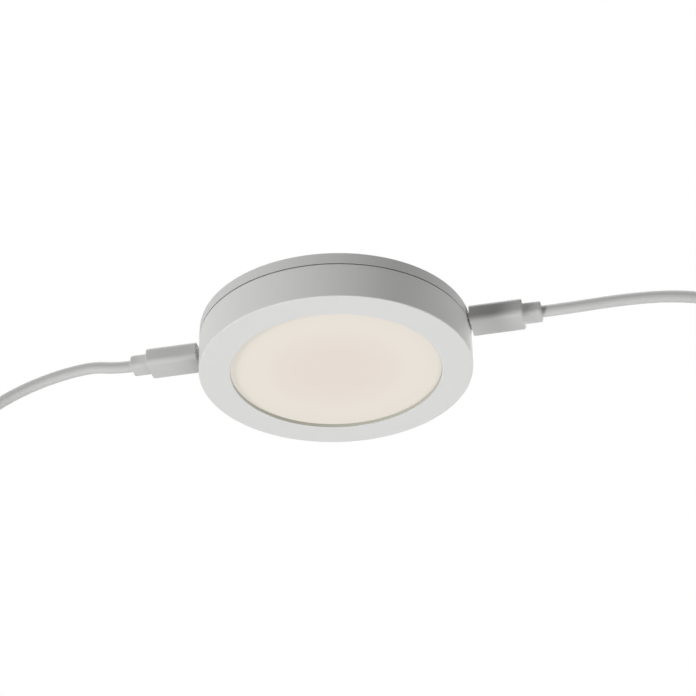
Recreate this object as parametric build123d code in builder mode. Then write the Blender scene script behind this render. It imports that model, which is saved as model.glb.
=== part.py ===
from build123d import *
import os
from math import degrees, pi, radians, sqrt, tan

# Round under-cabinet light with a link lead plugged in at each side, in millimetres, +Z up.
# It hangs face down: z = 0 is the rear face that meets the cabinet, the lit face looks down,
# and the two link plugs go in along X.

# Body of the light
light_diameter = 70.0
light_height = 13.0
band_height = 3.2  # side of the rear cover, above the parting line
side_wall = 1.8
rear_plate = 1.2
face_lip = 1.0  # the bezel's lip, and so how deep the diffuser sits
bezel_width = 8.0  # flat ring round the diffuser's opening
outer_edge_radius = 0.35
aperture_edge_radius = 0.2
band_draft = 2.0  # degrees, narrower towards the cabinet
parting_gap = 0.25  # shadow line between the rear cover and the housing
parting_gap_depth = 0.5
parting_chamfer = 0.15
register_height = 1.0  # rim of the housing that stands up inside the cover's band
register_wall = 0.9
slip_gap = 0.1  # between pieces that drop into each other

# Light engine, from the lip up
diffuser_overlap = 2.5  # seat on the lip round the aperture
diffuser_thickness = 1.5
guide_thickness = 2.5
reflector_thickness = 0.2
board_thickness = 1.0
foam_margin = 6.5  # from the light guide's edge to the pad's
rib_wall = 1.0
strip_thickness = 0.2
strip_margin = 0.1  # the strip is this much narrower than the light guide, at each edge
strip_gap_angle = 10.0  # where the strip's two ends meet
strip_gap_centre = 60.0
led_length = 3.0
led_width = 1.4
led_thickness = 0.7
led_pitch = 9.6
led_bond = 0.03
led_air_gap = 0.15
lead_wire_diameter = 0.5
lead_wire_margin = 0.8  # from the strip's end to the first wire
lead_wire_pitch = 1.0

# Circuit board and its seats
board_wall_gap = 1.5
board_notch_gap = 0.3
post_width = 4.0
post_angles = (45.0, 135.0, 225.0, 315.0)

# Screws that hold the rear cover
screw_count = 3
screw_start_angle = 90.0
boss_diameter = 4.2
screw_diameter = 1.7
screw_hole_gap = 0.15
screw_head_diameter = 3.0
screw_head_height = 1.1
screw_length = 5.0  # below the head
screw_tip_room = 0.8
head_recess_depth = 1.4
head_recess_gap = 0.25
screw_slot_width = 0.4

# Keyholes in the rear plate, for two screws in the cabinet
keyhole_spacing = 28.0
keyhole_head_diameter = 7.0
keyhole_neck_width = 3.6
keyhole_travel = 6.0

# Link plug: the overmoulding, its tongue and its contacts
plug_gap = 0.4  # the plug's shoulder stands this far off the side wall when it is home
left_plug_slack = 0.7  # the left plug isn't pushed fully home
plug_width = 8.8
plug_height = 5.0
plug_corner = 1.5
plug_length = 13.5
plug_end_radius = 0.5
plug_shoulder_radius = 0.2
collar_width = 5.7
collar_height = 3.9
collar_corner = 1.3
collar_length = 4.6
collar_end_radius = 0.45
tongue_width = 6.4
tongue_height = 1.6
tongue_corner = 0.4
tongue_length = 8.5
tongue_root = 3.0  # how far the tongue reaches back into the overmoulding
contact_pitch = 3.2
contact_width = 1.4
contact_thickness = 0.25
contact_tip_margin = 0.8

# Link socket on the board
socket_width = 8.4
socket_wall = 0.5
socket_corner = 0.3
socket_top_gap = 0.05
tongue_gap = 0.1
tongue_end_gap = 0.4
contact_mouth_margin = 0.6
contact_tail = 1.4
window_gap = 0.4  # round the tongue, where it passes the side wall

# Link lead
cord_diameter = 3.1
arc_share = 0.45  # share of the shorter run that each arc of the cord takes
coil_turn_radius = 16.0  # to the middle of the two layers of turns
coil_row = 3.5  # cord diameters across the bundle
coil_shift = -0.5  # of the bundle's middle, along the coil's axis
coil_corner = 1.0
tie_width = 8.0
tie_thickness = 0.8
tie_gap = 0.1

# Heights of the stack
parting_z = -band_height
reveal_z = parting_z - parting_gap
face_z = -light_height
seat_z = face_z + face_lip
diffuser_top_z = seat_z + diffuser_thickness
guide_top_z = diffuser_top_z + guide_thickness
reflector_top_z = guide_top_z + reflector_thickness
rib_top_z = reflector_top_z
socket_height = tongue_height + 2 * tongue_gap + 2 * socket_wall
socket_top_z = -rear_plate - socket_top_gap
plug_z = socket_top_z - socket_height / 2
board_top_z = plug_z - socket_height / 2
board_bottom_z = board_top_z - board_thickness

# Radii of the stack
light_radius = light_diameter / 2
rear_radius = light_radius - band_height * tan(radians(band_draft))
reveal_radius = light_radius - parting_gap_depth
wall_inner_radius = light_radius - side_wall
register_radius = wall_inner_radius + register_wall
aperture_radius = light_radius - bezel_width
diffuser_radius = aperture_radius + diffuser_overlap
rib_inner_radius = diffuser_radius + slip_gap
rib_outer_radius = rib_inner_radius + rib_wall
strip_radius = rib_inner_radius - strip_thickness
led_back_radius = sqrt(strip_radius**2 - (led_length / 2) ** 2) - led_bond
guide_radius = led_back_radius - led_thickness - led_air_gap
foam_radius = guide_radius - foam_margin
boss_circle_radius = (rib_outer_radius + wall_inner_radius) / 2
board_radius = wall_inner_radius - board_wall_gap

# Places along the plug's axis, counted outwards from the plug's shoulder
shoulder_x = light_radius + plug_gap
mouth_x = sqrt(wall_inner_radius**2 - (socket_width / 2) ** 2) - slip_gap
mouth_setback = shoulder_x - mouth_x
cavity_depth = tongue_length + tongue_end_gap - mouth_setback
collar_end = plug_length + collar_length

# Openings in the side wall that the two tongues pass through
window_width = tongue_width + 2 * window_gap
window_height = tongue_height + 2 * window_gap
window_depth = plug_gap + 2 * side_wall


def z_span(bottom, top):
    return Plane.XY.offset(bottom), top - bottom


def plug_seat(side):
    # Plane on the plug's shoulder, facing out along the lead, with its Y up
    return Plane(origin=(side * shoulder_x, 0, plug_z), x_dir=(0, side, 0), z_dir=(side, 0, 0))


# Front housing: side wall, bezel, inner rib, screw bosses and board posts in one moulding
boss_plane, boss_height = z_span(seat_z, parting_z)
post_plane, post_height = z_span(rib_top_z, board_bottom_z)
bore_plane, bore_height = z_span(seat_z, rib_top_z)
pilot_depth = head_recess_depth + screw_length - band_height + screw_tip_room
with BuildPart() as front_housing:
    with BuildSketch(Plane.XZ):
        with BuildLine():
            Polyline(
                (light_radius, reveal_z),
                (light_radius, face_z),
                (aperture_radius, face_z),
                (aperture_radius, seat_z),
                (rib_inner_radius, seat_z),
                (rib_inner_radius, rib_top_z),
                (rib_outer_radius, rib_top_z),
                (rib_outer_radius, seat_z),
                (wall_inner_radius, seat_z),
                (wall_inner_radius, parting_z + register_height),
                (register_radius, parting_z + register_height),
                (register_radius, parting_z),
                (reveal_radius, parting_z),
                (reveal_radius, reveal_z),
                close=True,
            )
        make_face()
    revolve(axis=Axis.Z)
    face_rims = front_housing.edges().filter_by(GeomType.CIRCLE).group_by(Axis.Z)[0].sort_by(SortBy.RADIUS)
    fillet(face_rims[0], radius=aperture_edge_radius)
    face_rims = front_housing.edges().filter_by(GeomType.CIRCLE).group_by(Axis.Z)[0].sort_by(SortBy.RADIUS)
    fillet(face_rims[-1], radius=outer_edge_radius)
    reveal_rims = front_housing.edges().filter_by(GeomType.CIRCLE).filter_by_position(
        Axis.Z, reveal_z - parting_gap / 2, reveal_z + parting_gap / 2
    )
    chamfer(reveal_rims.sort_by(SortBy.RADIUS)[-1], length=parting_chamfer)
    with BuildSketch(boss_plane):
        with PolarLocations(boss_circle_radius, screw_count, start_angle=screw_start_angle):
            Circle(boss_diameter / 2)
    extrude(amount=boss_height)
    with BuildSketch(post_plane):
        for angle in post_angles:
            with PolarLocations(rib_inner_radius + rib_wall / 2, 1, start_angle=angle):
                Rectangle(rib_wall, post_width)
    extrude(amount=post_height)
    with BuildSketch(bore_plane):
        Circle(rib_inner_radius)
    extrude(amount=bore_height, mode=Mode.SUBTRACT)
    with BuildSketch(Plane.XY.offset(parting_z)):
        with PolarLocations(boss_circle_radius, screw_count, start_angle=screw_start_angle):
            Circle(screw_diameter / 2)
    extrude(amount=-pilot_depth, mode=Mode.SUBTRACT)
    for side in (-1, 1):
        with BuildSketch(plug_seat(side)):
            Rectangle(window_width, window_height)
        extrude(amount=-window_depth, mode=Mode.SUBTRACT)
front_housing.part.label = "front_housing"

# Diffuser: opal disc on the lip
with BuildPart() as diffuser:
    with BuildSketch(Plane.XY.offset(seat_z)):
        Circle(diffuser_radius)
    extrude(amount=diffuser_thickness)
diffuser.part.label = "diffuser"

# Light guide: clear disc inside the ring of LEDs
with BuildPart() as light_guide:
    with BuildSketch(Plane.XY.offset(diffuser_top_z)):
        Circle(guide_radius)
    extrude(amount=guide_thickness)
light_guide.part.label = "light_guide"

with BuildPart() as reflector_sheet:
    with BuildSketch(Plane.XY.offset(guide_top_z)):
        Circle(guide_radius)
    extrude(amount=reflector_thickness)
reflector_sheet.part.label = "reflector_sheet"

foam_plane, foam_height = z_span(reflector_top_z, board_bottom_z)
with BuildPart() as foam_pad:
    with BuildSketch(foam_plane):
        Circle(foam_radius)
    extrude(amount=foam_height)
foam_pad.part.label = "foam_pad"

# LED strip: a flexible circuit stuck to the rib, nearly a full turn
strip_start_angle = strip_gap_centre + strip_gap_angle / 2
strip_arc = 360 - strip_gap_angle
strip_mid_z = (diffuser_top_z + guide_top_z) / 2
strip_width = guide_thickness - 2 * strip_margin
with BuildPart() as led_strip:
    with BuildSketch(Plane.XZ.rotated((0, 0, strip_start_angle))):
        with Locations((strip_radius + strip_thickness / 2, strip_mid_z)):
            Rectangle(strip_thickness, strip_width)
    revolve(axis=Axis.Z, revolution_arc=strip_arc)
led_strip.part.label = "led_strip"

# LEDs: evenly spaced along the strip, facing inwards
led_count = int(radians(strip_arc) * led_back_radius / led_pitch)
led_step = strip_arc / led_count
led_base_z = strip_mid_z - led_width / 2
with BuildPart() as leds:
    with BuildSketch(Plane.XY.offset(led_base_z)):
        for index in range(led_count):
            led_angle = strip_start_angle + led_step * (index + 0.5)
            with PolarLocations(led_back_radius - led_thickness / 2, 1, start_angle=led_angle):
                Rectangle(led_thickness, led_length)
    extrude(amount=led_width)
leds.part.label = "leds"

# Strip leads: two short wires from the strip's end up to the board
wire_radius = lead_wire_diameter / 2
wire_circle_radius = strip_radius - wire_radius - led_bond
wire_plane, wire_height = z_span(strip_mid_z, board_bottom_z)
with BuildPart() as strip_leads:
    with BuildSketch(wire_plane):
        for along in (lead_wire_margin, lead_wire_margin + lead_wire_pitch):
            wire_angle = strip_start_angle + degrees(along / wire_circle_radius)
            with PolarLocations(wire_circle_radius, 1, start_angle=wire_angle):
                Circle(wire_radius)
    extrude(amount=wire_height)
strip_leads.part.label = "strip_leads"

# Circuit board: a disc notched round the three screw bosses
with BuildPart() as circuit_board:
    with BuildSketch(Plane.XY.offset(board_bottom_z)):
        Circle(board_radius)
        with PolarLocations(boss_circle_radius, screw_count, start_angle=screw_start_angle):
            Circle(boss_diameter / 2 + board_notch_gap, mode=Mode.SUBTRACT)
    extrude(amount=board_thickness)
circuit_board.part.label = "circuit_board"

# Board components: place on the board, then length, width and height
component_blocks = (
    (0.0, 0.0, 4.9, 3.9, 1.5),  # regulator
    (0.0, 16.5, 4.3, 2.6, 2.0),  # diode
    (-4.6, -8.5, 3.2, 2.5, 1.6),  # input capacitor
    (4.6, -8.5, 3.2, 2.5, 1.6),  # output capacitor
    (-4.5, -14.0, 1.6, 0.8, 0.5),  # resistors
    (-1.5, -14.0, 1.6, 0.8, 0.5),
    (1.5, -14.0, 1.6, 0.8, 0.5),
    (4.5, -14.0, 1.6, 0.8, 0.5),
)
choke_place = (0.0, 9.0)
choke_diameter = 5.2
choke_waist_diameter = 4.0
choke_height = 2.2
choke_flange = 0.5
with BuildPart() as board_components:
    for x, y, length, width, height in component_blocks:
        with BuildSketch(Plane.XY.offset(board_top_z)):
            with Locations((x, y)):
                Rectangle(length, width)
        extrude(amount=height)
    with BuildSketch(Plane.XY.offset(board_top_z)):
        with Locations(choke_place):
            Circle(choke_waist_diameter / 2)
    extrude(amount=choke_height)
    for flange_z in (board_top_z, board_top_z + choke_height - choke_flange):
        with BuildSketch(Plane.XY.offset(flange_z)):
            with Locations(choke_place):
                Circle(choke_diameter / 2)
        extrude(amount=choke_flange)
board_components.part.label = "board_components"

# Rear cover: plate and band in one moulding, with pads for the screws and two keyholes
pad_plane, pad_height = z_span(parting_z, -rear_plate)
with BuildPart() as rear_cover:
    with BuildSketch(Plane.XZ):
        with BuildLine():
            Polyline(
                (0, 0),
                (rear_radius, 0),
                (light_radius, parting_z),
                (wall_inner_radius, parting_z),
                (wall_inner_radius, -rear_plate),
                (0, -rear_plate),
                close=True,
            )
        make_face()
    revolve(axis=Axis.Z)
    rear_rim = rear_cover.edges().filter_by(GeomType.CIRCLE).group_by(Axis.Z)[-1]
    fillet(rear_rim, radius=outer_edge_radius)
    with BuildSketch(pad_plane):
        with PolarLocations(boss_circle_radius, screw_count, start_angle=screw_start_angle):
            Circle(boss_diameter / 2)
    extrude(amount=pad_height)
    with BuildSketch(Plane.XY.offset(parting_z)):
        Circle(register_radius + slip_gap)
        Circle(wall_inner_radius - slip_gap, mode=Mode.SUBTRACT)
    extrude(amount=register_height + slip_gap, mode=Mode.SUBTRACT)
    with BuildSketch(Plane.XY):
        with PolarLocations(boss_circle_radius, screw_count, start_angle=screw_start_angle):
            Circle(screw_diameter / 2 + screw_hole_gap)
    extrude(amount=parting_z, mode=Mode.SUBTRACT)
    with BuildSketch(Plane.XY):
        with PolarLocations(boss_circle_radius, screw_count, start_angle=screw_start_angle):
            Circle(screw_head_diameter / 2 + head_recess_gap)
    extrude(amount=-head_recess_depth, mode=Mode.SUBTRACT)
    with BuildSketch(Plane.XY):
        with GridLocations(keyhole_spacing, 0, 2, 1):
            Rectangle(keyhole_neck_width, keyhole_travel)
            with Locations((0, -keyhole_travel / 2)):
                Circle(keyhole_head_diameter / 2)
            with Locations((0, keyhole_travel / 2)):
                Circle(keyhole_neck_width / 2)
    extrude(amount=-rear_plate, mode=Mode.SUBTRACT)
    for side in (-1, 1):
        with BuildSketch(plug_seat(side)):
            Rectangle(window_width, window_height)
        extrude(amount=-window_depth, mode=Mode.SUBTRACT)
rear_cover.part.label = "rear_cover"

# Cover screws: pan heads with a cross recess, down in the cover's counterbores
head_seat_z = -head_recess_depth
with BuildPart() as cover_screws:
    with BuildSketch(Plane.XY.offset(head_seat_z)):
        with PolarLocations(boss_circle_radius, screw_count, start_angle=screw_start_angle):
            Circle(screw_head_diameter / 2)
    extrude(amount=screw_head_height)
    chamfer(cover_screws.edges().group_by(Axis.Z)[-1], length=screw_head_height / 4)
    with BuildSketch(Plane.XY.offset(head_seat_z + screw_head_height)):
        with PolarLocations(boss_circle_radius, screw_count, start_angle=screw_start_angle):
            Rectangle(screw_slot_width, screw_head_diameter / 2)
            Rectangle(screw_head_diameter / 2, screw_slot_width)
    extrude(amount=-screw_head_height / 2, mode=Mode.SUBTRACT)
    with BuildSketch(Plane.XY.offset(head_seat_z)):
        with PolarLocations(boss_circle_radius, screw_count, start_angle=screw_start_angle):
            Circle(screw_diameter / 2)
    extrude(amount=-screw_length)
cover_screws.part.label = "cover_screws"

# Cross-sections of the two contacts, on the tongue's lower side and in the socket's floor
tongue_contact_y = -tongue_height / 2 + contact_thickness / 2
socket_contact_y = -tongue_height / 2 - tongue_gap - contact_thickness / 2


def make_overmould(seat, label):
    # Flat block, then the smaller collar that the cord comes out of, round the tongue's root
    with BuildPart() as overmould:
        with BuildSketch(seat):
            RectangleRounded(plug_width, plug_height, plug_corner)
        extrude(amount=plug_length)
        ends = overmould.edges().group_by(Axis(seat.origin, seat.z_dir))
        fillet(ends[-1], radius=plug_end_radius)
        ends = overmould.edges().group_by(Axis(seat.origin, seat.z_dir))
        fillet(ends[0], radius=plug_shoulder_radius)
        with BuildSketch(seat.offset(plug_length)):
            RectangleRounded(collar_width, collar_height, collar_corner)
        extrude(amount=collar_length)
        ends = overmould.edges().group_by(Axis(seat.origin, seat.z_dir))
        fillet(ends[-1], radius=collar_end_radius)
        with BuildSketch(seat):
            RectangleRounded(tongue_width, tongue_height, tongue_corner)
        extrude(amount=tongue_root, mode=Mode.SUBTRACT)
    overmould.part.label = label
    return overmould.part


def make_insert(seat, label):
    # Tongue with two grooves for the contacts
    with BuildPart() as insert:
        with BuildSketch(seat.offset(tongue_root)):
            RectangleRounded(tongue_width, tongue_height, tongue_corner)
        extrude(amount=-(tongue_root + tongue_length))
        tip = insert.edges().group_by(Axis(seat.origin, seat.z_dir))[0]
        chamfer(tip, length=contact_thickness)
        with BuildSketch(seat.offset(tongue_root)):
            with Locations((0, tongue_contact_y)):
                with GridLocations(contact_pitch, 0, 2, 1):
                    Rectangle(contact_width, contact_thickness)
        extrude(amount=-(tongue_root + tongue_length - contact_tip_margin), mode=Mode.SUBTRACT)
    insert.part.label = label
    return insert.part


def make_plug_contacts(seat, label):
    with BuildPart() as contacts:
        with BuildSketch(seat.offset(tongue_root)):
            with Locations((0, tongue_contact_y)):
                with GridLocations(contact_pitch, 0, 2, 1):
                    Rectangle(contact_width, contact_thickness)
        extrude(amount=-(tongue_root + tongue_length - contact_tip_margin))
    contacts.part.label = label
    return contacts.part


def make_socket(seat, label):
    # Box with a cavity for the tongue and two grooves in the cavity's floor
    mouth = seat.offset(-mouth_setback)
    with BuildPart() as socket:
        with BuildSketch(mouth):
            RectangleRounded(socket_width, socket_height, socket_corner)
        extrude(amount=-(cavity_depth + socket_wall))
        with BuildSketch(mouth):
            RectangleRounded(tongue_width + 2 * tongue_gap, tongue_height + 2 * tongue_gap, tongue_corner)
        extrude(amount=-cavity_depth, mode=Mode.SUBTRACT)
        with BuildSketch(mouth.offset(-contact_mouth_margin)):
            with Locations((0, socket_contact_y)):
                with GridLocations(contact_pitch, 0, 2, 1):
                    Rectangle(contact_width, contact_thickness)
        extrude(amount=-(cavity_depth + socket_wall), mode=Mode.SUBTRACT)
    socket.part.label = label
    return socket.part


def make_socket_contacts(seat, label):
    # Strips along the floor, each with a solder tail down to the board behind the socket
    mouth = seat.offset(-mouth_setback)
    tail_height = socket_height / 2 - tongue_height / 2 - tongue_gap
    with BuildPart() as contacts:
        with BuildSketch(mouth.offset(-contact_mouth_margin)):
            with Locations((0, socket_contact_y)):
                with GridLocations(contact_pitch, 0, 2, 1):
                    Rectangle(contact_width, contact_thickness)
        extrude(amount=-(cavity_depth + socket_wall - contact_mouth_margin))
        with BuildSketch(mouth.offset(-(cavity_depth + socket_wall))):
            with Locations((0, -socket_height / 2 + tail_height / 2)):
                with GridLocations(contact_pitch, 0, 2, 1):
                    Rectangle(contact_width, tail_height)
        extrude(amount=-contact_tail)
    contacts.part.label = label
    return contacts.part


# Link leads: where the photographed stretch runs, then down to the coil, as chosen points
cord_start_x = shoulder_x + collar_end
left_cord_points = (
    (-cord_start_x - left_plug_slack, 0.0, plug_z),
    (-58.5, 0.0, plug_z),
    (-65.0, 0.0, -1.3),
    (-73.0, 0.1, -2.2),
    (-81.5, 0.0, -4.5),
    (-90.0, -0.5, -8.6),
    (-98.0, -1.2, -15.0),
    (-103.4, -2.0, -23.8),
    (-105.2, -2.6, -34.0),
    (-103.8, -3.0, -44.4),
    (-100.6, -3.2, -54.4),
    (-98.8, -3.2, -63.2),
    (-98.5, -3.1, -70.5),
)
right_cord_points = (
    (cord_start_x, 0.0, plug_z),
    (61.0, 0.0, plug_z),
    (73.0, 0.0, -2.3),
    (85.0, -0.2, -3.0),
    (96.0, -0.6, -5.8),
    (104.4, -1.3, -11.8),
    (110.4, -2.1, -20.4),
    (113.0, -2.7, -30.6),
    (112.2, -3.1, -41.2),
    (109.0, -3.2, -51.2),
    (107.2, -3.2, -60.0),
    (106.9, -3.1, -67.0),
)

outer_turn_radius = coil_turn_radius + cord_diameter / 2
inner_turn_radius = coil_turn_radius - cord_diameter / 2
coil_width = coil_row * cord_diameter
coil_depth = 2 * cord_diameter
tail_y = coil_shift - (coil_width + cord_diameter) / 2
tail_steps = (1.0, -9.5, -20.0)  # heights of the tail's points from the coil's centre
tail_bow = 0.6


def arc_radii(points):
    corners = [Vector(*point) for point in points]
    radii = []
    for before, corner, after in zip(corners, corners[1:], corners[2:]):
        run_in, run_out = corner - before, after - corner
        half_turn = radians(run_in.get_angle(run_out)) / 2
        radii.append(arc_share * min(run_in.length, run_out.length) / tan(half_turn))
    return radii


def make_cord_tube(points, label):
    radii = arc_radii(points)
    with BuildPart() as tube:
        with BuildLine():
            route = FilletPolyline(*points, radius=radii)
        with BuildSketch(Plane(origin=route @ 0, z_dir=route % 0)):
            Circle(cord_diameter / 2)
        sweep()
    tube.part.label = label
    expected = pi * (cord_diameter / 2) ** 2 * route.length
    print(f"{label}: length {route.length:.1f}, volume {tube.part.volume:.1f} against {expected:.1f},")
    print("    arc radii", ", ".join(f"{radius:.1f}" for radius in radii))
    return tube.part


def coil_centre(points, side):
    end_x, _, end_z = points[-1]
    return Vector(end_x + side * outer_turn_radius, coil_shift, end_z)


def coil_section_plane(centre):
    # Holds the coil's axis, which lies along Y, with the section above the centre
    return Plane(origin=centre, x_dir=(0, 1, 0), z_dir=(1, 0, 0))


def make_coil(centre, label):
    with BuildPart() as coil:
        with BuildSketch(coil_section_plane(centre)):
            with Locations((0, coil_turn_radius)):
                bundle = Rectangle(coil_width, coil_depth)
            chamfer(bundle.vertices(), length=coil_corner)
        revolve(axis=Axis(centre, (0, 1, 0)))
    coil.part.label = label
    return coil.part


def make_coil_tie(centre, label):
    # Strap round the bundle at the top of the coil
    tie_arc = degrees(tie_width / coil_turn_radius)
    inside = tie_gap
    outside = tie_gap + tie_thickness
    with BuildPart() as tie:
        with BuildSketch(coil_section_plane(centre)):
            with Locations((0, coil_turn_radius)):
                strap = Rectangle(coil_width + 2 * outside, coil_depth + 2 * outside)
            chamfer(strap.vertices(), length=coil_corner)
            with Locations((0, coil_turn_radius)):
                Rectangle(coil_width + 2 * inside, coil_depth + 2 * inside, mode=Mode.SUBTRACT)
        revolve(axis=Axis(centre, (0, 1, 0)), revolution_arc=tie_arc)
    tie.part.label = label
    return tie.part


def make_lead(name, side, slack, points):
    # One lead: near plug, cord, hanging coil with its tie, tail and far plug
    seat = plug_seat(side).offset(slack)
    centre = coil_centre(points, side)
    tail_x = centre.X - side * inner_turn_radius
    tail_points = [
        (tail_x, tail_y, centre.Z + tail_steps[0]),
        (tail_x - side * tail_bow, tail_y, centre.Z + tail_steps[1]),
        (tail_x - side * tail_bow, tail_y, centre.Z + tail_steps[2]),
    ]
    far_x, _, far_top_z = tail_points[-1]
    far_seat = Plane(origin=(far_x, tail_y, far_top_z - collar_end), x_dir=(0, 1, 0), z_dir=(0, 0, 1))
    return [
        make_overmould(seat, f"{name}_plug"),
        make_insert(seat, f"{name}_plug_insert"),
        make_plug_contacts(seat, f"{name}_plug_contacts"),
        make_cord_tube(points, f"{name}_cord"),
        make_coil(centre, f"{name}_coil"),
        make_coil_tie(centre, f"{name}_coil_tie"),
        make_cord_tube(tail_points, f"{name}_tail"),
        make_overmould(far_seat, f"{name}_far_plug"),
        make_insert(far_seat, f"{name}_far_insert"),
        make_plug_contacts(far_seat, f"{name}_far_contacts"),
    ]


pieces = [
    front_housing.part,
    diffuser.part,
    light_guide.part,
    reflector_sheet.part,
    foam_pad.part,
    led_strip.part,
    leds.part,
    strip_leads.part,
    circuit_board.part,
    board_components.part,
    rear_cover.part,
    cover_screws.part,
]
leads = (("left", -1, left_plug_slack, left_cord_points), ("right", 1, 0.0, right_cord_points))
for name, side, slack, points in leads:
    pieces.append(make_socket(plug_seat(side), f"{name}_socket"))
    pieces.append(make_socket_contacts(plug_seat(side), f"{name}_socket_contacts"))
    pieces.extend(make_lead(name, side, slack, points))

os.makedirs("parts", exist_ok=True)
for piece in pieces:
    export_step(piece, f"parts/{piece.label}.step")
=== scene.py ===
from math import cos, radians, sin, tau

import bmesh
import bpy
from mathutils import Matrix, Quaternion, Vector


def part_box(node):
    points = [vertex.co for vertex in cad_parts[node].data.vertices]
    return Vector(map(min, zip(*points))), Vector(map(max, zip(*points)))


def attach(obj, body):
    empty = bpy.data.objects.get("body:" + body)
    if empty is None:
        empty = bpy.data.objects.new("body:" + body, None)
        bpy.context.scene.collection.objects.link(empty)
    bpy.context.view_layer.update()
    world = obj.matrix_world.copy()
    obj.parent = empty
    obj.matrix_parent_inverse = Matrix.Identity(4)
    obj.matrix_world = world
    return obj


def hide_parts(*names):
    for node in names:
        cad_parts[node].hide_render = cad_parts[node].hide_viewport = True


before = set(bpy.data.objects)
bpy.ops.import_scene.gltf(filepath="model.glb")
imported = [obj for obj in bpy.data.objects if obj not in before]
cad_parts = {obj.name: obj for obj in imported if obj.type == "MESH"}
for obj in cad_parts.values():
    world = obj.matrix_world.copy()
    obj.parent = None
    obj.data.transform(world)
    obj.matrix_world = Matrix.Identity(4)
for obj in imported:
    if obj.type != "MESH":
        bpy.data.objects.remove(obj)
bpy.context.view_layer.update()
mm = 0.001
print("frame loaded:", len(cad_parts), "nodes")


# camera, at the angle that the light was photographed from

cameraSetup = {
    "azimuth": 11.3,
    "elevation": -32.74,
    "roll": 1.41,
    "distance": 0.5674,
    "lookAt": (0.00261, 0.00305, -0.00386),
    "lens": 113.8,
    "sensor": 36.0,
    "clip": (0.01, 20),
}


def addCamera():
    azimuth = radians(cameraSetup["azimuth"])
    elevation = radians(cameraSetup["elevation"])
    back = Vector((sin(azimuth) * cos(elevation), -cos(azimuth) * cos(elevation), sin(elevation)))
    data = bpy.data.cameras.new("camera")
    data.lens = cameraSetup["lens"]
    data.sensor_width = cameraSetup["sensor"]
    data.clip_start, data.clip_end = cameraSetup["clip"]
    camera = bpy.data.objects.new("camera", data)
    bpy.context.scene.collection.objects.link(camera)
    camera.location = Vector(cameraSetup["lookAt"]) + back * cameraSetup["distance"]
    camera.rotation_mode = "QUATERNION"
    roll = Quaternion((0, 0, 1), radians(-cameraSetup["roll"]))
    camera.rotation_quaternion = (-back).to_track_quat("-Z", "Y") @ roll
    bpy.context.scene.camera = camera


addCamera()
bpy.context.scene.view_settings.view_transform = "Standard"
print("camera placed")


# link leads: the same routes as the tubes in the model, then the coil's turns and the tail

lead = {
    "diameter": 3.1 * mm,
    "length": 0.61,
    "turnRadius": 16.0 * mm,    # to the middle of the wound bundle
    "turns": 5,
    "outerTurns": 2.0,          # these lie in the outer layer, the rest inside them
    "dropTurns": 0.35,          # part of a turn in which the cord drops to the inner layer
    "leaveTurns": 0.25,         # part of a turn in which it moves out beside the bundle
    "pointsPerTurn": 24,
    "swell": 1.005,             # the spline runs inside its points, so they stand this much further out
    "tailSide": -7.475 * mm,
    "tailSteps": (-9.5 * mm, -20.0 * mm),
    "tailBow": 0.6 * mm,
    "stepsPerPoint": 8,
    "roundness": 6,
}

leftRoute = (
    (-54.2, 0.0, -2.65),
    (-58.5, 0.0, -2.65),
    (-65.0, 0.0, -1.3),
    (-73.0, 0.1, -2.2),
    (-81.5, 0.0, -4.5),
    (-90.0, -0.5, -8.6),
    (-98.0, -1.2, -15.0),
    (-103.4, -2.0, -23.8),
    (-105.2, -2.6, -34.0),
    (-103.8, -3.0, -44.4),
    (-100.6, -3.2, -54.4),
    (-98.8, -3.2, -63.2),
    (-98.5, -3.1, -70.5),
)
rightRoute = (
    (53.5, 0.0, -2.65),
    (61.0, 0.0, -2.65),
    (73.0, 0.0, -2.3),
    (85.0, -0.2, -3.0),
    (96.0, -0.6, -5.8),
    (104.4, -1.3, -11.8),
    (110.4, -2.1, -20.4),
    (113.0, -2.7, -30.6),
    (112.2, -3.1, -41.2),
    (109.0, -3.2, -51.2),
    (107.2, -3.2, -60.0),
    (106.9, -3.1, -67.0),
)


def easeInOut(share):
    return share * share * (3 - 2 * share)


def strandPlace(turn):
    # how far along the coil's axis, and how far from it, the cord is after so many turns
    pitch = lead["diameter"]
    outer = lead["turnRadius"] + pitch / 2
    dropEnd = lead["outerTurns"] + lead["dropTurns"]
    leaveStart = lead["turns"] - lead["leaveTurns"]
    if turn <= lead["outerTurns"]:
        return pitch * (turn - 1), outer
    if turn <= dropEnd:
        past = turn - lead["outerTurns"]
        sideways = pitch * (1 + past - past * past / lead["dropTurns"])
        return sideways, outer - pitch * easeInOut(past / lead["dropTurns"])
    sideways = pitch * (1 + dropEnd - turn)
    if turn > leaveStart:
        share = easeInOut((turn - leaveStart) / lead["leaveTurns"])
        sideways += share * (lead["tailSide"] - sideways)
    return sideways, outer - pitch


def coilCentre(route, side):
    x, _, z = (value * mm for value in route[-1])
    return Vector((x + side * (lead["turnRadius"] + lead["diameter"] / 2), 0, z))


def onCoil(centre, side, turn, sideways, radius):
    angle = tau * turn
    return centre + Vector((-side * radius * cos(angle), sideways, -radius * sin(angle)))


def cordPoints(route, side):
    points = [Vector(point) * mm for point in route]
    centre = coilCentre(route, side)
    for index in range(1, lead["turns"] * lead["pointsPerTurn"] + 1):
        turn = index / lead["pointsPerTurn"]
        sideways, radius = strandPlace(turn)
        points.append(onCoil(centre, side, turn, sideways, radius * lead["swell"]))
    tailX = centre.x - side * (lead["turnRadius"] - lead["diameter"] / 2 + lead["tailBow"])
    points += [Vector((tailX, lead["tailSide"], centre.z + step)) for step in lead["tailSteps"]]
    return points


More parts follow.
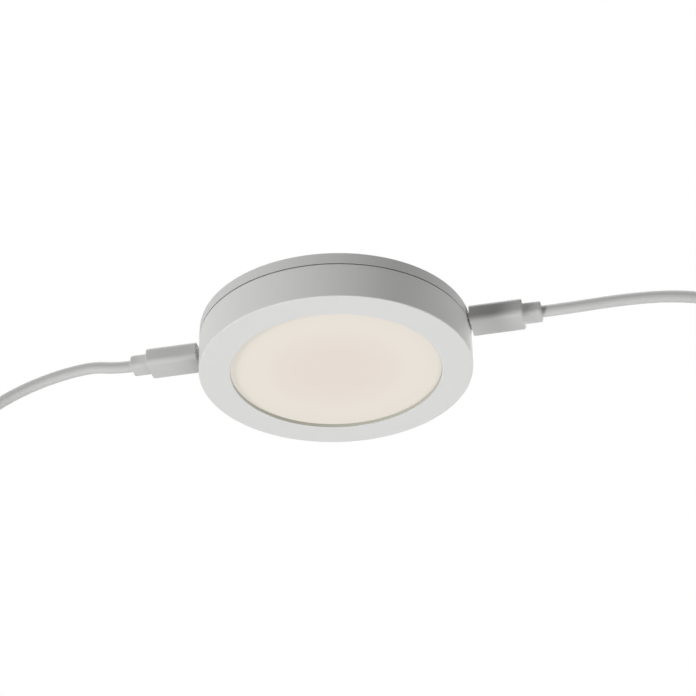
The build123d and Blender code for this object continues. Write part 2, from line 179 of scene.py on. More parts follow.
def makeCord(name, points):
    curve = bpy.data.curves.new(name, "CURVE")
    curve.dimensions = "3D"
    spline = curve.splines.new("NURBS")
    spline.points.add(len(points) - 1)
    for target, point in zip(spline.points, points):
        target.co = (*point, 1)
        target.radius = lead["diameter"] / 2  # the points carry the size, so the curve's box is true
    spline.order_u = 3
    spline.use_endpoint_u = True
    spline.resolution_u = lead["stepsPerPoint"]
    curve.bevel_depth = 1
    curve.bevel_resolution = lead["roundness"]
    curve.use_fill_caps = True
    cord = bpy.data.objects.new(name, curve)
    bpy.context.scene.collection.objects.link(cord)
    return cord


# soft overmouldings of the plugs: a flat block, then the smaller collar that the cord leaves by

plugBody = {
    "width": 8.8 * mm,
    "height": 5.0 * mm,
    "corner": 1.5 * mm,
    "length": 13.5 * mm,
    "collarWidth": 5.7 * mm,
    "collarHeight": 3.9 * mm,
    "collarCorner": 1.3 * mm,
    "collarLength": 4.6 * mm,
    "shoulderRound": 0.2 * mm,
    "endRound": 0.5 * mm,
    "collarRound": 0.45 * mm,
    "cornerSteps": 8,
    "rimSteps": 4,
    "sharpAngle": 1.0,      # radians; an edge of a rim turns by more than this
}
near = 0.001 * mm  # places closer than this count as the same


def roundedFace(shape, width, height, corner, level):
    # one flat face with round corners, at a height along the plug
    grid = bmesh.ops.create_grid(shape, x_segments=1, y_segments=1, size=0.5)
    verts = grid["verts"]
    bmesh.ops.scale(shape, verts=verts, vec=(width, height, 1))
    bmesh.ops.translate(shape, verts=verts, vec=(0, 0, level))
    bmesh.ops.bevel(
        shape, geom=verts, offset=corner, segments=plugBody["cornerSteps"], profile=0.5,
        affect="VERTICES", material=-1,
    )
    return next(face for face in shape.faces if abs(face.calc_center_median().z - level) < near)


def pullOut(shape, face, distance):
    # extrudes a face along the plug and gives back the new end face
    pulled = bmesh.ops.extrude_face_region(shape, geom=[face])
    verts = [item for item in pulled["geom"] if isinstance(item, bmesh.types.BMVert)]
    bmesh.ops.translate(shape, verts=verts, vec=(0, 0, distance))
    return next(item for item in pulled["geom"] if isinstance(item, bmesh.types.BMFace))


def rimEdges(shape, level):
    # the edges of a rim that lies flat at this level
    return [
        edge
        for edge in shape.edges
        if all(abs(vert.co.z - level) < near for vert in edge.verts)
        and edge.calc_face_angle(0) > plugBody["sharpAngle"]
    ]


def roundEdges(shape, edges, radius):
    bmesh.ops.bevel(
        shape, geom=edges, offset=radius, segments=plugBody["rimSteps"], profile=0.5,
        affect="EDGES", material=-1, clamp_overlap=True,
    )


def finishPiece(name, shape):
    # turns the bmesh into an object at the origin, with its faces outwards
    bmesh.ops.recalc_face_normals(shape, faces=shape.faces)
    mesh = bpy.data.meshes.new(name)
    shape.to_mesh(mesh)
    shape.free()
    mesh.shade_smooth()
    piece = bpy.data.objects.new(name, mesh)
    bpy.context.scene.collection.objects.link(piece)
    return piece


def makePlugBody(name, place):
    length = plugBody["length"]
    end = length + plugBody["collarLength"]
    shape = bmesh.new()
    base = roundedFace(shape, plugBody["width"], plugBody["height"], plugBody["corner"], 0)
    blockEnd = pullOut(shape, base, length)
    blockRim = list(blockEnd.edges)
    bmesh.ops.delete(shape, geom=[blockEnd], context="FACES_ONLY")
    collarBase = roundedFace(
        shape, plugBody["collarWidth"], plugBody["collarHeight"], plugBody["collarCorner"], length
    )
    collarRim = list(collarBase.edges)
    pullOut(shape, collarBase, plugBody["collarLength"])
    bmesh.ops.delete(
        shape,
        geom=[face for face in shape.faces if set(face.edges) == set(collarRim)],
        context="FACES_ONLY",
    )
    bmesh.ops.bridge_loops(shape, edges=blockRim + collarRim)
    roundEdges(shape, rimEdges(shape, 0), plugBody["shoulderRound"])
    roundEdges(shape, rimEdges(shape, end), plugBody["collarRound"])
    roundEdges(shape, [edge for edge in blockRim if edge.is_valid], plugBody["endRound"])
    bmesh.ops.transform(shape, matrix=place, verts=shape.verts)
    return finishPiece(name, shape)


def nearPlugPlace(node, side):
    # from the solid's shoulder: width along Y, height along Z, and out along the lead
    low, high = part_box(node)
    shoulder = low[0] if side > 0 else high[0]
    turn = Matrix(((0, 0, side), (side, 0, 0), (0, 1, 0))).to_4x4()
    return Matrix.Translation((shoulder, 0, (low[2] + high[2]) / 2)) @ turn


def farPlugPlace(end):
    # hangs below the end of the tail, tongue downwards
    reach = plugBody["length"] + plugBody["collarLength"]
    turn = Matrix(((0, -1, 0), (1, 0, 0), (0, 0, 1))).to_4x4()
    return Matrix.Translation(end - Vector((0, 0, reach))) @ turn


# straps round the coils: hook-and-loop tape, closed with its end lying over its start

strap = {
    "width": 8.0 * mm,
    "thickness": 0.65 * mm,
    "slack": 0.1 * mm,
    "turn": 0.75,           # at the top of the coil
    "lap": (0.0, 0.31),     # part of the way round where the tape lies double
    "points": 64,
    "steps": 12,
}


def bundleStrands():
    # where the strands lie across the bundle under the strap: along the coil's axis, and from it
    places = [strandPlace(whole + strap["turn"]) for whole in range(lead["turns"])]
    return [Vector((sideways, radius, 0)) for sideways, radius in places]


def addTape(shape, strands, reach, start, end):
    # a line drawn round the strands, then turned about the coil's axis to the tape's width
    middle = sum(strands, Vector()) / len(strands)
    ring = bmesh.ops.create_circle(shape, segments=strap["points"], radius=1)["verts"]
    line = ring[round(start * len(ring)) : round(end * len(ring))]
    for vert in line:
        away = vert.co.normalized()
        outermost = max(strands, key=lambda strand: (strand - middle).dot(away))
        vert.co = outermost + away * reach
    bmesh.ops.delete(shape, geom=[vert for vert in ring if vert not in line], context="VERTS")
    edges = list({edge for vert in line for edge in vert.link_edges})
    halfTurn = strap["width"] / lead["turnRadius"] / 2
    bmesh.ops.rotate(shape, verts=line, cent=(0, 0, 0), matrix=Matrix.Rotation(-halfTurn, 3, "X"))
    bmesh.ops.spin(
        shape, geom=line + edges, cent=(0, 0, 0), axis=(1, 0, 0), angle=2 * halfTurn,
        steps=strap["steps"],
    )


def makeStrap(name, route, side):
    strands = bundleStrands()
    reach = lead["diameter"] / 2 + strap["slack"]
    shape = bmesh.new()
    addTape(shape, strands, reach, 0, 1)
    addTape(shape, strands, reach + strap["thickness"], *strap["lap"])
    bmesh.ops.recalc_face_normals(shape, faces=shape.faces)
    bmesh.ops.solidify(shape, geom=list(shape.faces), thickness=-strap["thickness"])
    toRow = Matrix(((0, 0, 1), (1, 0, 0), (0, 1, 0))).to_4x4()
    bmesh.ops.transform(
        shape, matrix=Matrix.Translation(coilCentre(route, side)) @ toRow, verts=shape.verts
    )
    return finishPiece(name, shape)


madePieces = {}

for sideName, route, side in (("left", leftRoute, -1), ("right", rightRoute, 1)):
    points = cordPoints(route, side)
    body = f"{sideName}_lead"

    plug = makePlugBody(f"{sideName}PlugBody", nearPlugPlace(f"{sideName}_plug", side))
    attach(plug, body)
    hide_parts(f"{sideName}_plug")

    farPlug = makePlugBody(f"{sideName}FarPlugBody", farPlugPlace(points[-1]))
    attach(farPlug, body)
    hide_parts(f"{sideName}_far_plug")

    tape = makeStrap(f"{sideName}CoilStrap", route, side)
    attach(tape, body)
    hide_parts(f"{sideName}_coil_tie")

    cord = makeCord(f"{sideName}LinkCord", points)
    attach(cord, body)
    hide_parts(f"{sideName}_cord", f"{sideName}_coil", f"{sideName}_tail")
    madePieces[sideName] = {"plug": plug, "farPlug": farPlug, "strap": tape, "cord": cord}
print("link leads, plugs and straps made")


# shader groups that several finishes share

def newGroup(name, inputs, outputs):
    group = bpy.data.node_groups.new(name, "ShaderNodeTree")
    for label, kind in inputs:
        group.interface.new_socket(label, in_out="INPUT", socket_type=f"NodeSocket{kind}")
    for label, kind in outputs:
        group.interface.new_socket(label, in_out="OUTPUT", socket_type=f"NodeSocket{kind}")
    return group, group.nodes.new("NodeGroupInput"), group.nodes.new("NodeGroupOutput")


def feed(tree, socket, value):
    # another node's socket is linked, and a number or a colour goes in as it is
    if isinstance(value, bpy.types.NodeSocket):
        tree.links.new(value, socket)
    elif socket.type == "RGBA":
        socket.default_value = (*value, 1)
    else:
        socket.default_value = value


def addMath(tree, operation, first, second=0):
    node = tree.nodes.new("ShaderNodeMath")
    node.operation = operation
    feed(tree, node.inputs[0], first)
    feed(tree, node.inputs[1], second)
    return node.outputs[0]


def addNoise(tree, vector, scale, detail):
    node = tree.nodes.new("ShaderNodeTexNoise")
    node.inputs["Detail"].default_value = detail
    feed(tree, node.inputs["Vector"], vector)
    feed(tree, node.inputs["Scale"], scale)
    return node.outputs["Fac"]


def addVoronoi(tree, vector, scale):
    node = tree.nodes.new("ShaderNodeTexVoronoi")
    feed(tree, node.inputs["Vector"], vector)
    feed(tree, node.inputs["Scale"], scale)
    return node


def mapRange(tree, value, low, high):
    # 0 at low and 1 at high, eased
    node = tree.nodes.new("ShaderNodeMapRange")
    node.interpolation_type = "SMOOTHSTEP"
    feed(tree, node.inputs["Value"], value)
    feed(tree, node.inputs["From Min"], low)
    feed(tree, node.inputs["From Max"], high)
    return node.outputs["Result"]


def mixColour(tree, share, first, second):
    node = tree.nodes.new("ShaderNodeMix")
    node.data_type = "RGBA"
    feed(tree, node.inputs["Factor"], share)
    feed(tree, node.inputs["A"], first)
    feed(tree, node.inputs["B"], second)
    return node.outputs["Result"]


def splitPlace(tree, where):
    node = tree.nodes.new("ShaderNodeSeparateXYZ")
    feed(tree, node.inputs[0], where)
    return node.outputs


def addRadius(tree, where):
    # distance from the light's axis
    parts = splitPlace(tree, where)
    squares = [addMath(tree, "MULTIPLY", parts[axis], parts[axis]) for axis in ("X", "Y")]
    return addMath(tree, "SQRT", addMath(tree, "ADD", *squares))


def makeAxisDistance():
    group, inside, outside = newGroup("axisDistance", [("Vector", "Vector")], [("Distance", "Float")])
    feed(group, outside.inputs["Distance"], addRadius(group, inside.outputs["Vector"]))
    return group


grainMix = {"smoothness": 0.6, "pits": 0.7, "fineRatio": 2.3, "fineDetail": 3}


def makeMouldGrain():
    # spark-eroded grain of a moulding: rounded pits over a finer roughness
    group, inside, outside = newGroup(
        "mouldGrain", [("Vector", "Vector"), ("Scale", "Float")], [("Height", "Float")]
    )
    where, scale = inside.outputs["Vector"], inside.outputs["Scale"]
    pits = addVoronoi(group, where, scale)
    pits.feature = "SMOOTH_F1"
    pits.inputs["Smoothness"].default_value = grainMix["smoothness"]
    deep = addMath(group, "MULTIPLY", pits.outputs["Distance"], grainMix["pits"])
    fineScale = addMath(group, "MULTIPLY", scale, grainMix["fineRatio"])
    fine = addNoise(group, where, fineScale, grainMix["fineDetail"])
    feed(group, outside.inputs["Height"], addMath(group, "ADD", deep, fine))
    return group


handlingMix = {
    "clouds": (55, 4),        # scale and detail of the noise
    "cloudShare": 0.7,
    "specks": (900, 2),
    "speckShare": 0.3,
    "glossFrom": (0.3, 0.7),  # between these the gloss goes from smooth to rough
}


def makeHandling():
    # soft clouds of handling: the colour sinks a little, and the gloss goes from smooth to rough
    group, inside, outside = newGroup(
        "handling",
        [
            ("Vector", "Vector"),
            ("Colour", "Color"),
            ("Soil", "Float"),
            ("Smooth", "Float"),
            ("Rough", "Float"),
        ],
        [("Colour", "Color"), ("Roughness", "Float")],
    )
    where = inside.outputs["Vector"]
    clouds = addMath(
        group, "MULTIPLY", addNoise(group, where, *handlingMix["clouds"]), handlingMix["cloudShare"]
    )
    specks = addMath(
        group, "MULTIPLY", addNoise(group, where, *handlingMix["specks"]), handlingMix["speckShare"]
    )
    both = addMath(group, "ADD", clouds, specks)
    depth = addMath(group, "SUBTRACT", 1, addMath(group, "MULTIPLY", both, inside.outputs["Soil"]))
    sink = group.nodes.new("ShaderNodeVectorMath")
    sink.operation = "SCALE"
    feed(group, sink.inputs[0], inside.outputs["Colour"])
    feed(group, sink.inputs["Scale"], depth)
    feed(group, outside.inputs["Colour"], sink.outputs["Vector"])
    gloss = group.nodes.new("ShaderNodeMapRange")
    for label, value in zip(("From Min", "From Max"), handlingMix["glossFrom"]):
        gloss.inputs[label].default_value = value
    feed(group, gloss.inputs["Value"], both)
    feed(group, gloss.inputs["To Min"], inside.outputs["Smooth"])
    feed(group, gloss.inputs["To Max"], inside.outputs["Rough"])
    feed(group, outside.inputs["Roughness"], gloss.outputs["Result"])
    return group


glossDetail = 2


def makeUnevenGloss():
    # soft noise turned into roughness: 0 at Low and 1 at High
    group, inside, outside = newGroup(
        "unevenGloss",
        [("Vector", "Vector"), ("Scale", "Float"), ("Low", "Float"), ("High", "Float")],
        [("Roughness", "Float")],
    )
    clouds = addNoise(group, inside.outputs["Vector"], inside.outputs["Scale"], glossDetail)
    gloss = mapRange(group, clouds, inside.outputs["Low"], inside.outputs["High"])
    feed(group, outside.inputs["Roughness"], gloss)
    return group


paintedPartingShade = {
    "colour": (0.30, 0.30, 0.285),    # painted shade in the gap between cover and housing
    "mouth": 34.92 * mm,              # the painted shade starts this far from the axis
    "back": 34.80 * mm,               # and is full from here inwards
    "low": -3.50 * mm,
    "high": -3.14 * mm,
    "blend": 0.08 * mm,
}


def makeGapShade():
    # painted shade for the inside of the parting gap, laid over a moulding's own colour
    group, inside, outside = newGroup(
        "paintedGapShade", [("Vector", "Vector"), ("Colour", "Color"), ("Shade", "Color")], [("Colour", "Color")]
    )
    where = inside.outputs["Vector"]
    height = splitPlace(group, where)["Z"]
    blend = paintedPartingShade["blend"]
    behind = mapRange(group, addRadius(group, where), paintedPartingShade["mouth"], paintedPartingShade["back"])
    above = mapRange(group, height, paintedPartingShade["low"] - blend, paintedPartingShade["low"])
    below = mapRange(group, height, paintedPartingShade["high"] + blend, paintedPartingShade["high"])
    share = addMath(group, "MULTIPLY", behind, addMath(group, "MULTIPLY", above, below))
    shaded = mixColour(group, share, inside.outputs["Colour"], inside.outputs["Shade"])
    feed(group, outside.inputs["Colour"], shaded)
    return group


axisDistance = makeAxisDistance()
mouldGrain = makeMouldGrain()
handling = makeHandling()
unevenGloss = makeUnevenGloss()
paintedGapShade = makeGapShade()


# what the finishes are put together from

def addGroup(tree, group, **values):
    node = tree.nodes.new("ShaderNodeGroup")
    node.node_tree = group
    for label, value in values.items():
        feed(tree, node.inputs[label], value)
    return node.outputs


def newMaterial(name):
    material = bpy.data.materials.new(name)
    material.use_nodes = True
    tree = material.node_tree
    where = tree.nodes.new("ShaderNodeTexCoord").outputs["Object"]
    return material, tree, tree.nodes["Principled BSDF"], where


def addBump(tree, shader, height, depth):
    bump = tree.nodes.new("ShaderNodeBump")
    bump.inputs["Distance"].default_value = depth
    feed(tree, bump.inputs["Height"], height)
    feed(tree, shader.inputs["Normal"], bump.outputs["Normal"])


def colourStops(tree, value, stops, sharp=False):
    ramp = tree.nodes.new("ShaderNodeValToRGB")
    ramp.color_ramp.interpolation = "CONSTANT" if sharp else "EASE"
    elements = ramp.color_ramp.elements
    while len(elements) < len(stops):
        elements.new(1.0)
    for element, (position, colour) in zip(elements, stops):
        element.position = position
        element.color = (*colour, 1)
    feed(tree, ramp.inputs["Fac"], value)
    return ramp.outputs["Color"]


def fromAxis(tree, where):
    return addGroup(tree, axisDistance, Vector=where)["Distance"]


def varyGloss(tree, shader, where, gloss):
    feed(tree, shader.inputs["Roughness"], addGroup(tree, unevenGloss, Vector=where, **gloss)["Roughness"])


def addTone(tree, shader, where, look, colour):
    # colour and gloss with the traces of handling; gives back the colour
    tone = addGroup(
        tree, handling, Vector=where, Colour=colour, Soil=look["soil"], Smooth=look["smooth"],
        Rough=look["rough"],
    )
    feed(tree, shader.inputs["Base Color"], tone["Colour"])
    feed(tree, shader.inputs["Roughness"], tone["Roughness"])
    return tone["Colour"]


def addGrain(tree, shader, where, look):
    grain = addGroup(tree, mouldGrain, Vector=where, Scale=look["grain"])
    addBump(tree, shader, grain["Height"], look["depth"])


def mouldedPlastic(name, look):
    # a moulding with grain; gives back what a finish needs to go on from it
    material, tree, shader, where = newMaterial(name)
    tone = addTone(tree, shader, where, look, look["colour"])
    addGrain(tree, shader, where, look)
    shader.inputs["Specular IOR Level"].default_value = look["specular"]
    return material, tree, shader, where, tone


# white mouldings: satin, with a fine grain

housingLook = {
    "colour": (0.760, 0.762, 0.750),
    "recessShadeColour": (0.46, 0.46, 0.41),   # painted shade on the lip's inner wall, next to the diffuser
    "recessRadius": 27.0 * mm,
    "recessBlend": (0.12 * mm, 0.02 * mm),
    "soil": 0.03,
    "smooth": 0.50,
    "rough": 0.60,
    "specular": 0.4,
    "grain": 3200,
    "depth": 0.006 * mm,
}
coverLook = dict(housingLook, colour=(0.69, 0.692, 0.68), rough=0.64)
softLook = dict(
    housingLook, colour=(0.615, 0.615, 0.604), soil=0.05, smooth=0.54, rough=0.64, specular=0.3
)
overmouldLook = dict(softLook, grain=2600, depth=0.008 * mm)
cordLook = dict(softLook, depth=0.0015 * mm)
insertLook = dict(
    housingLook, colour=(0.72, 0.70, 0.64), soil=0.05, smooth=0.30, grain=2600, depth=0.004 * mm
)
socketLook = dict(insertLook, colour=(0.66, 0.64, 0.57), smooth=0.35)


def paintGapShade(tree, shader, where, colour):
    # lays the painted shade of the parting gap over the colour
    shaded = addGroup(tree, paintedGapShade, Vector=where, Colour=colour, Shade=paintedPartingShade["colour"])
    feed(tree, shader.inputs["Base Color"], shaded["Colour"])


def housingFinish():
    material, tree, shader, where, tone = mouldedPlastic("housingPlastic", housingLook)
    # painted shade on the lip's inner wall next to the diffuser, then painted shade in the parting gap
    outer, inner = (housingLook["recessRadius"] + blend for blend in housingLook["recessBlend"])
    recess = mapRange(tree, fromAxis(tree, where), outer, inner)
    paintGapShade(tree, shader, where, mixColour(tree, recess, tone, housingLook["recessShadeColour"]))
    return material


def coverFinish():
    material, tree, shader, where, tone = mouldedPlastic("coverPlastic", coverLook)
    # the cover gets the same painted shade in the parting gap
    paintGapShade(tree, shader, where, tone)
    return material


housingPlastic = housingFinish()
coverPlastic = coverFinish()
overmouldPlastic = mouldedPlastic("overmouldPlastic", overmouldLook)[0]
cordPlastic = mouldedPlastic("cordPlastic", cordLook)[0]
insertNylon = mouldedPlastic("insertNylon", insertLook)[0]
socketNylon = mouldedPlastic("socketNylon", socketLook)[0]


# opal diffuser, lit from its rim: warmest in the middle, a little yellower and paler further out

opalLook = {
    "radius": 27.0 * mm,
    "base": (0.36, 0.335, 0.31),
    "strength": 0.455,
    "glow": (
        (0.30, (0.976, 0.850, 0.775)),
        (0.80, (0.998, 0.950, 0.850)),
        (0.90, (0.980, 0.925, 0.815)),
        (1.00, (0.965, 0.915, 0.815)),
    ),
    "smooth": 0.50,
    "clouds": (240, 3),       # scale and detail of the noise that takes the gloss off
    "cloudRough": 0.1,
    "specular": 0.3,
    "grain": (2400, 2),
    "depth": 0.004 * mm,
}


def opalFinish():
    material, tree, shader, where = newMaterial("opalGlow")
    share = addMath(tree, "DIVIDE", fromAxis(tree, where), opalLook["radius"])
    feed(tree, shader.inputs["Emission Color"], colourStops(tree, share, opalLook["glow"]))
    feed(tree, shader.inputs["Base Color"], opalLook["base"])
    shader.inputs["Emission Strength"].default_value = opalLook["strength"]
    clouds = addMath(tree, "MULTIPLY", addNoise(tree, where, *opalLook["clouds"]), opalLook["cloudRough"])
    feed(tree, shader.inputs["Roughness"], addMath(tree, "ADD", opalLook["smooth"], clouds))
    shader.inputs["Specular IOR Level"].default_value = opalLook["specular"]
    addBump(tree, shader, addNoise(tree, where, *opalLook["grain"]), opalLook["depth"])
    return material


opalGlow = opalFinish()
print("white mouldings and diffuser finished")


# metals

goldLook = {
    "colour": (0.83, 0.61, 0.28),
    "soil": 0.12,
    "smooth": 0.18,
    "rough": 0.34,
    "scratches": (5200, 4),
    "depth": 0.003 * mm,
}
zincLook = dict(goldLook, colour=(0.62, 0.62, 0.60), smooth=0.24, rough=0.42, scratches=(3400, 4))


def metalFinish(name, look):
    material, tree, shader, where = newMaterial(name)
    shader.inputs["Metallic"].default_value = 1
    addTone(tree, shader, where, look, look["colour"])
    addBump(tree, shader, addNoise(tree, where, *look["scratches"]), look["depth"])
    return material


goldFlash = metalFinish("goldFlash", goldLook)
zincSteel = metalFinish("zincSteel", zincLook)


# light engine and board

ledLook = {
    "face": 28.66 * mm,        # the lit faces of the LEDs lie inside this radius
    "blend": 0.03 * mm,
    "case": (0.82, 0.82, 0.80),
    "phosphor": (0.88, 0.68, 0.16),
    "gloss": {"Scale": 1500, "Low": -1.0, "High": 3.0},
}


def ledFinish():
    # white package with its phosphor window towards the middle of the light
    material, tree, shader, where = newMaterial("ledPackage")
    window = mapRange(tree, fromAxis(tree, where), ledLook["face"] + ledLook["blend"], ledLook["face"])
    feed(tree, shader.inputs["Base Color"], mixColour(tree, window, ledLook["case"], ledLook["phosphor"]))
    varyGloss(tree, shader, where, ledLook["gloss"])
    return material


stripLook = {
    "middle": -9.25 * mm,
    "trackOffset": 0.72 * mm,
    "trackOuter": 0.192 * mm,  # a track fades in from this far off its own middle
    "trackInner": 0.128 * mm,
    "coverlay": (0.80, 0.80, 0.76),
    "track": (0.70, 0.58, 0.42),
    "gloss": {"Scale": 700, "Low": -1.2, "High": 2.2},
}


def stripFinish():
    # white coverlay with the two copper tracks showing faintly through it
    material, tree, shader, where = newMaterial("stripCoverlay")
    height = splitPlace(tree, where)["Z"]
    offset = addMath(tree, "ABSOLUTE", addMath(tree, "SUBTRACT", height, stripLook["middle"]))
    fromTrack = addMath(tree, "ABSOLUTE", addMath(tree, "SUBTRACT", offset, stripLook["trackOffset"]))
    track = mapRange(tree, fromTrack, stripLook["trackOuter"], stripLook["trackInner"])
    colour = mixColour(tree, track, stripLook["coverlay"], stripLook["track"])
    feed(tree, shader.inputs["Base Color"], colour)
    varyGloss(tree, shader, where, stripLook["gloss"])
    return material


guideLook = {
    "tint": (0.95, 0.97, 0.97),
    "ior": 1.49,
    "dotScale": 900,
    "dotEdge": (0.36, 0.28),   # across a dot's edge, in parts of the distance between dots
    "clear": 0.03,
    "printed": 0.5,
}


def guideFinish():
    # clear acrylic with rows of printed dots that let the light out
    material, tree, shader, where = newMaterial("guideAcrylic")
    shader.inputs["Transmission Weight"].default_value = 1
    shader.inputs["IOR"].default_value = guideLook["ior"]
    feed(tree, shader.inputs["Base Color"], guideLook["tint"])
    dots = addVoronoi(tree, where, guideLook["dotScale"])
    dots.inputs["Randomness"].default_value = 0
    printed = mapRange(tree, dots.outputs["Distance"], *guideLook["dotEdge"])
    frosted = addMath(tree, "MULTIPLY", printed, guideLook["printed"])
    feed(tree, shader.inputs["Roughness"], addMath(tree, "ADD", frosted, guideLook["clear"]))
    return material


filmLook = {
    "light": (0.90, 0.90, 0.90),
    "dim": (0.86, 0.86, 0.85),
    "ripple": (120, 3),
    "gloss": (-1.0, 3.0),
    "depth": 0.01 * mm,
}


def filmFinish():
    material, tree, shader, where = newMaterial("reflectorFilm")
    ripple = addNoise(tree, where, *filmLook["ripple"])
    feed(tree, shader.inputs["Base Color"], mixColour(tree, ripple, filmLook["light"], filmLook["dim"]))
    feed(tree, shader.inputs["Roughness"], mapRange(tree, ripple, *filmLook["gloss"]))
    addBump(tree, shader, ripple, filmLook["depth"])
    return material


foamLook = {
    "skin": (0.075, 0.075, 0.08),
    "hollow": (0.035, 0.035, 0.04),
    "cells": 1400,
    "rough": 0.92,
    "depth": 0.12 * mm,
}


def foamFinish():
    # charcoal foam with closed cells
    material, tree, shader, where = newMaterial("foamCells")
    cells = addVoronoi(tree, where, foamLook["cells"]).outputs["Distance"]
    feed(tree, shader.inputs["Base Color"], mixColour(tree, cells, foamLook["skin"], foamLook["hollow"]))
    shader.inputs["Roughness"].default_value = foamLook["rough"]
    addBump(tree, shader, cells, foamLook["depth"])
    return material


boardLook = {
    "mask": (0.78, 0.80, 0.78),
    "track": (0.66, 0.69, 0.64),
    "trackScale": 130,
    "trackWidth": 0.03,
    "trackSoft": 0.2,
    "depth": 0.03 * mm,
    "gloss": {"Scale": 400, "Low": -0.8, "High": 2.6},
}


def boardFinish():
    # white solder mask, with the tracks standing out a shade darker
    material, tree, shader, where = newMaterial("boardMask")
    tracks = tree.nodes.new("ShaderNodeTexBrick")
    tracks.inputs["Scale"].default_value = boardLook["trackScale"]
    tracks.inputs["Mortar Size"].default_value = boardLook["trackWidth"]
    tracks.inputs["Mortar Smooth"].default_value = boardLook["trackSoft"]
    feed(tree, tracks.inputs["Vector"], where)
    line = tracks.outputs["Fac"]
    feed(tree, shader.inputs["Base Color"], mixColour(tree, line, boardLook["mask"], boardLook["track"]))
    varyGloss(tree, shader, where, boardLook["gloss"])
    addBump(tree, shader, line, boardLook["depth"])
    return material


componentLook = {
    "halfSpan": 20 * mm,
    "rows": (
        # share of the way from 20 mm below the middle to 20 mm above it, and the colour from there on
        (0.000, (0.030, 0.030, 0.032)),   # resistors
        (0.225, (0.480, 0.330, 0.190)),   # ceramic capacitors
        (0.375, (0.035, 0.035, 0.038)),   # regulator
        (0.625, (0.120, 0.120, 0.130)),   # choke
        (0.825, (0.030, 0.030, 0.032)),   # diode
    ),
    "soil": 0.2,
    "smooth": 0.32,
    "rough": 0.55,
    "grain": 4000,
    "depth": 0.01 * mm,
}


def componentFinish():
    material, tree, shader, where = newMaterial("componentBodies")
    fromEnd = addMath(tree, "ADD", splitPlace(tree, where)["Y"], componentLook["halfSpan"])
    along = addMath(tree, "DIVIDE", fromEnd, 2 * componentLook["halfSpan"])
    rows = colourStops(tree, along, componentLook["rows"], sharp=True)
    addTone(tree, shader, where, componentLook, rows)
    addGrain(tree, shader, where, componentLook)
    return material


wireLook = {
    "black": (0.03, 0.03, 0.03),
    "red": (0.42, 0.03, 0.025),
    "redFrom": 10.95 * mm,     # between the two wires, along X
    "blend": 0.02 * mm,
    "gloss": {"Scale": 1200, "Low": -1.0, "High": 2.4},
}


def wireFinish():
    # one red and one black wire
    material, tree, shader, where = newMaterial("wireInsulation")
    start = wireLook["redFrom"] - wireLook["blend"]
    second = mapRange(tree, splitPlace(tree, where)["X"], start, wireLook["redFrom"])
    feed(tree, shader.inputs["Base Color"], mixColour(tree, second, wireLook["black"], wireLook["red"]))
    varyGloss(tree, shader, where, wireLook["gloss"])
    return material


# strap tape: rows of loops

tapeLook = {
    "pile": (0.060, 0.060, 0.064),
    "valley": (0.022, 0.022, 0.024),
    "rows": 900,
    "waver": 3,
    "rowDetail": 2,
    "loops": (1600, 4),
    "depth": 0.12 * mm,
    "rough": 0.9,
    "sheen": 0.3,
}


def tapeFinish():
    material, tree, shader, where = newMaterial("strapTape")
    rows = tree.nodes.new("ShaderNodeTexWave")
    rows.bands_direction = "Z"
    rows.inputs["Scale"].default_value = tapeLook["rows"]
    rows.inputs["Distortion"].default_value = tapeLook["waver"]
    rows.inputs["Detail"].default_value = tapeLook["rowDetail"]
    feed(tree, rows.inputs["Vector"], where)
    loops = addNoise(tree, where, *tapeLook["loops"])
    pile = addMath(tree, "MULTIPLY", addMath(tree, "ADD", rows.outputs["Fac"], loops), 0.5)  # their mean
    feed(tree, shader.inputs["Base Color"], mixColour(tree, pile, tapeLook["valley"], tapeLook["pile"]))
    shader.inputs["Roughness"].default_value = tapeLook["rough"]
    shader.inputs["Sheen Weight"].default_value = tapeLook["sheen"]
    addBump(tree, shader, pile, tapeLook["depth"])
    return material


# every carried-over node and every new piece gets its finish

nodeFinishes = {
    "front_housing": housingPlastic,
    "rear_cover": coverPlastic,
    "diffuser": opalGlow,
    "light_guide": guideFinish(),
    "led_strip": stripFinish(),
    "leds": ledFinish(),
    "reflector_sheet": filmFinish(),
    "foam_pad": foamFinish(),
    "circuit_board": boardFinish(),
    "board_components": componentFinish(),
    "strip_leads": wireFinish(),
    "cover_screws": zincSteel,
}
strapTape = tapeFinish()
sideFinishes = {
    "socket": socketNylon,
    "socket_contacts": goldFlash,
    "plug": overmouldPlastic,
    "plug_insert": insertNylon,
    "plug_contacts": goldFlash,
    "cord": cordPlastic,
    "coil": cordPlastic,
    "coil_tie": strapTape,
    "tail": cordPlastic,
    "far_plug": overmouldPlastic,
    "far_insert": insertNylon,
    "far_contacts": goldFlash,
}
madeFinishes = {
    "plug": overmouldPlastic,
    "farPlug": overmouldPlastic,
    "strap": strapTape,
    "cord": cordPlastic,
}


def dress(piece, finish):
    piece.data.materials.clear()
    piece.data.materials.append(finish)


for name, finish in nodeFinishes.items():
    dress(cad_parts[name], finish)
for sideName, pieces in madePieces.items():
    for name, finish in sideFinishes.items():
        dress(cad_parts[f"{sideName}_{name}"], finish)
    for name, finish in madeFinishes.items():
        dress(pieces[name], finish)
print("finishes given to", len(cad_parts), "nodes")


# stage: pale floor under the light, white beyond, and soft lamps

studio = {
    "floorHeight": -1.5,
    "floorSize": 40.0,
    "floorColour": (0.86, 0.86, 0.86),
    "poreColour": (0.8471, 0.8471, 0.8471),
    "pores": (40, 4),
    "floorRough": 0.85,
    "nearGlow": 0.55,         # what the floor shows of its own, to the camera and in reflections only
    "fade": (1.0, 6.0),       # from here to here it goes over to the white beyond
    "ambient": 0.045,
}


def shownRays(tree):
    # 1 for rays that see the background: straight, in gloss and through clear pieces
    path = tree.nodes.new("ShaderNodeLightPath")
    glossy = addMath(tree, "MAXIMUM", path.outputs["Is Glossy Ray"], path.outputs["Is Transmission Ray"])
    return addMath(tree, "MAXIMUM", path.outputs["Is Camera Ray"], glossy)


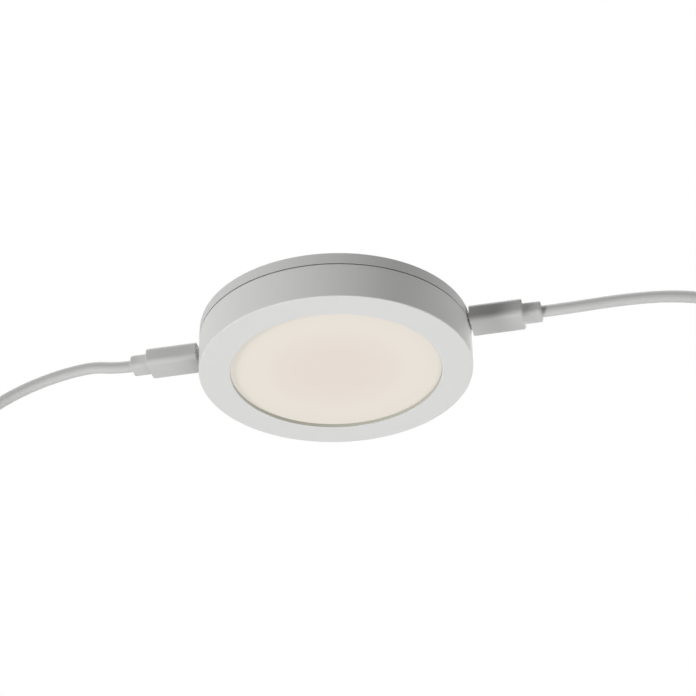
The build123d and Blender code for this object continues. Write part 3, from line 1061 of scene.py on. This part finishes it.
def floorFinish():
    material, tree, shader, where = newMaterial("floorPaint")
    pores = addNoise(tree, where, *studio["pores"])
    paint = mixColour(tree, pores, studio["floorColour"], studio["poreColour"])
    feed(tree, shader.inputs["Base Color"], paint)
    shader.inputs["Roughness"].default_value = studio["floorRough"]
    far = mapRange(tree, addRadius(tree, where), *studio["fade"])
    rise = addMath(tree, "MULTIPLY", far, 1 - studio["nearGlow"])
    glow = addMath(tree, "ADD", studio["nearGlow"], rise)
    feed(tree, shader.inputs["Emission Color"], (1, 1, 1))
    feed(tree, shader.inputs["Emission Strength"], addMath(tree, "MULTIPLY", glow, shownRays(tree)))
    material.cycles.emission_sampling = "NONE"  # it lights nothing, so no light sample goes to it
    return material


def addFloor():
    mesh = bpy.data.meshes.new("floor")
    shape = bmesh.new()
    bmesh.ops.create_grid(shape, x_segments=1, y_segments=1, size=studio["floorSize"] / 2)
    bmesh.ops.translate(shape, verts=shape.verts, vec=(0, 0, studio["floorHeight"]))
    shape.to_mesh(mesh)
    shape.free()
    floor = bpy.data.objects.new("floor", mesh)
    bpy.context.scene.collection.objects.link(floor)
    floor.data.materials.append(floorFinish())


def addWorld():
    world = bpy.data.worlds.new("studioWorld")
    bpy.context.scene.world = world
    world.use_nodes = True
    world.cycles.sampling_method = "NONE"
    tree = world.node_tree
    ambient = tree.nodes["Background"]
    feed(tree, ambient.inputs["Color"], (1, 1, 1))
    ambient.inputs["Strength"].default_value = studio["ambient"]
    white = tree.nodes.new("ShaderNodeBackground")
    feed(tree, white.inputs["Color"], (1, 1, 1))
    mix = tree.nodes.new("ShaderNodeMixShader")
    feed(tree, mix.inputs["Fac"], shownRays(tree))
    feed(tree, mix.inputs[1], ambient.outputs[0])
    feed(tree, mix.inputs[2], white.outputs[0])
    feed(tree, tree.nodes["World Output"].inputs["Surface"], mix.outputs[0])


# places and sizes in metres, power in watts; every lamp points at the light
lamps = {
    "keyLamp": {"place": (-0.84, -0.70, -0.51), "size": 0.35, "power": 10.5, "inGloss": False},
    "sideLamp": {"place": (1.04, -0.31, -0.51), "size": 0.9, "power": 3.8},
    "underLamp": {"place": (0.36, 0.22, -0.78), "size": 0.7, "power": 3.8},
    "overheadLamp": {"place": (0.0, 0.0, 1.20), "size": 0.8, "power": 2.2, "spread": 60},
    "rearLamp": {"place": (0.35, 1.15, 0.20), "size": 0.8, "power": 1.5, "spread": 60},
}


def addLamp(name, values):
    data = bpy.data.lights.new(name, "AREA")
    data.size = values["size"]
    data.energy = values["power"]
    data.spread = radians(values.get("spread", 180))
    lamp = bpy.data.objects.new(name, data)
    bpy.context.scene.collection.objects.link(lamp)
    lamp.location = values["place"]
    lamp.rotation_mode = "QUATERNION"
    lamp.rotation_quaternion = (-Vector(values["place"])).to_track_quat("-Z", "Y")
    lamp.visible_camera = False
    lamp.visible_glossy = values.get("inGloss", True)


addFloor()
addWorld()
for name, values in lamps.items():
    addLamp(name, values)
print("stage and lamps set")
